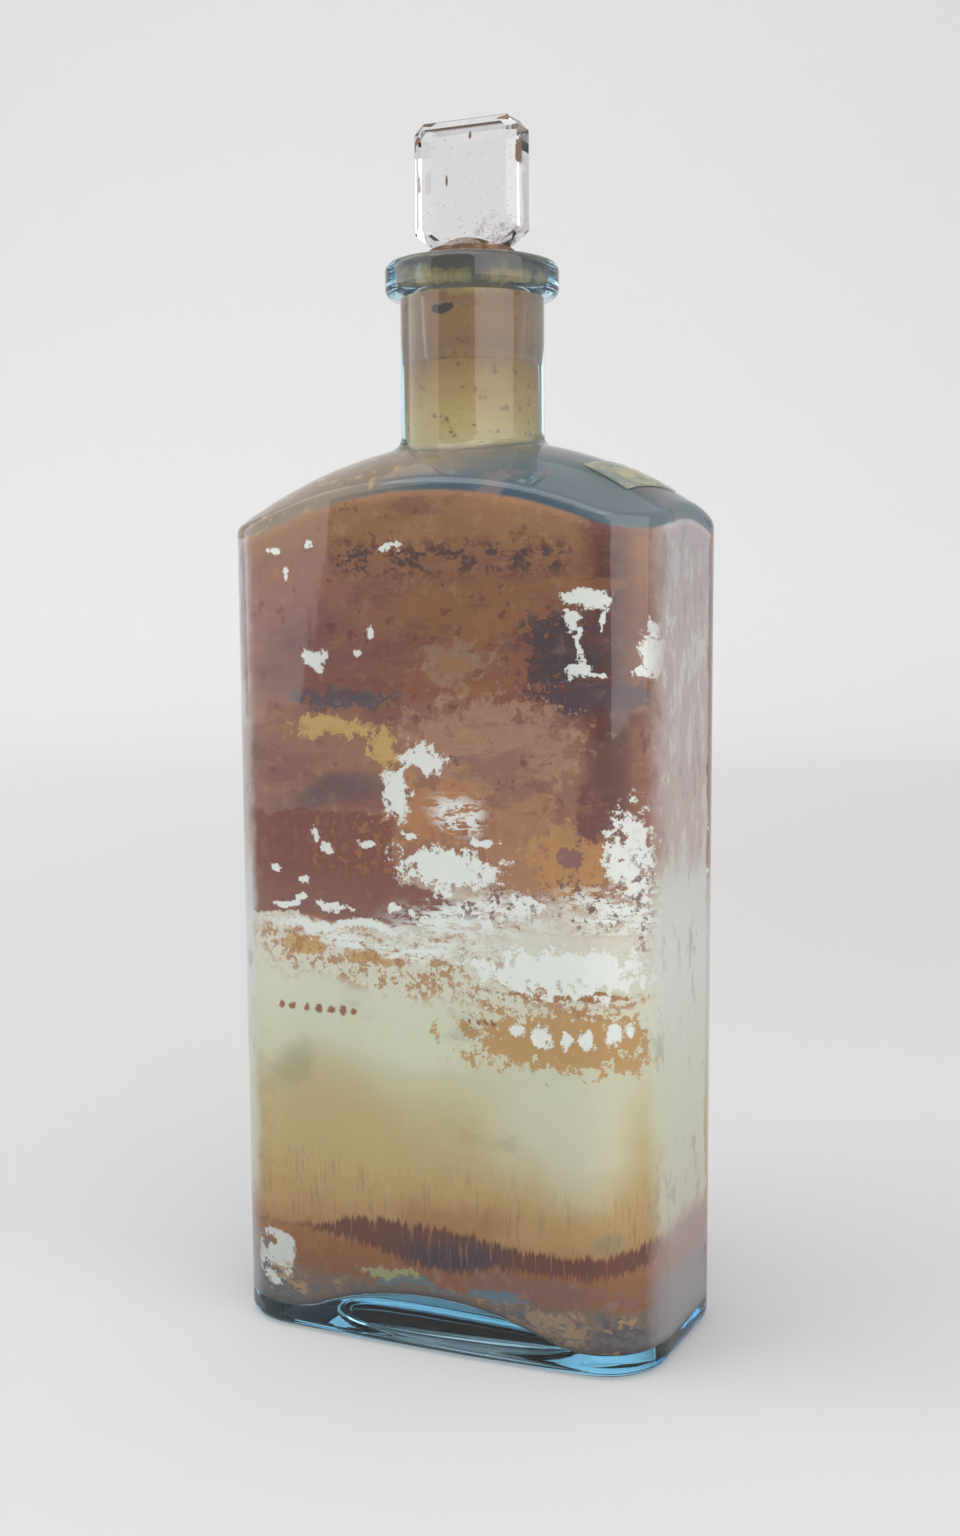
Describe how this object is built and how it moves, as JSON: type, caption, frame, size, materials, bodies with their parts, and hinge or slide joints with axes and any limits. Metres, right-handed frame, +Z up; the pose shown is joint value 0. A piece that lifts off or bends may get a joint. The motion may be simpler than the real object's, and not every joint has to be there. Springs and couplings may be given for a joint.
{
  "type": "reagent bottle",
  "caption": "Flat rectangular glass reagent bottle with arched shoulder, ground-glass slab stopper and a tarnished silver film dried on the inside.",
  "frame": {"origin": "middle of the base, on the plane that the bottle stands on", "axes": "+Z up along the neck, +X along the wide face, -Y out of the front face"},
  "size_m": [0.09, 0.0504, 0.2353],
  "materials": {
    "bottle_glass": "blown glass with a blue-green tint in its thick base",
    "stopper_glass": "pressed, nearly colourless glass, ground on the shank",
    "silver_film": "dried tarnished silver film",
    "residue": "dry crust",
    "label_paper": "thin weathered gummed paper"
  },
  "bodies": {
    "bottle": {"bottle": "bottle_glass", "wall_film": "silver_film", "base_film": "silver_film", "neck_film": "silver_film", "label_scrap": "label_paper"},
    "stopper": {"stopper": "stopper_glass", "stopper_crust": "residue"}
  },
  "joints": [
    {"name": "stopper_lift", "type": "slide", "parent": "bottle", "child": "stopper", "axis": [0, 0, 1], "range_m": [0, 0.05]}
  ]
}
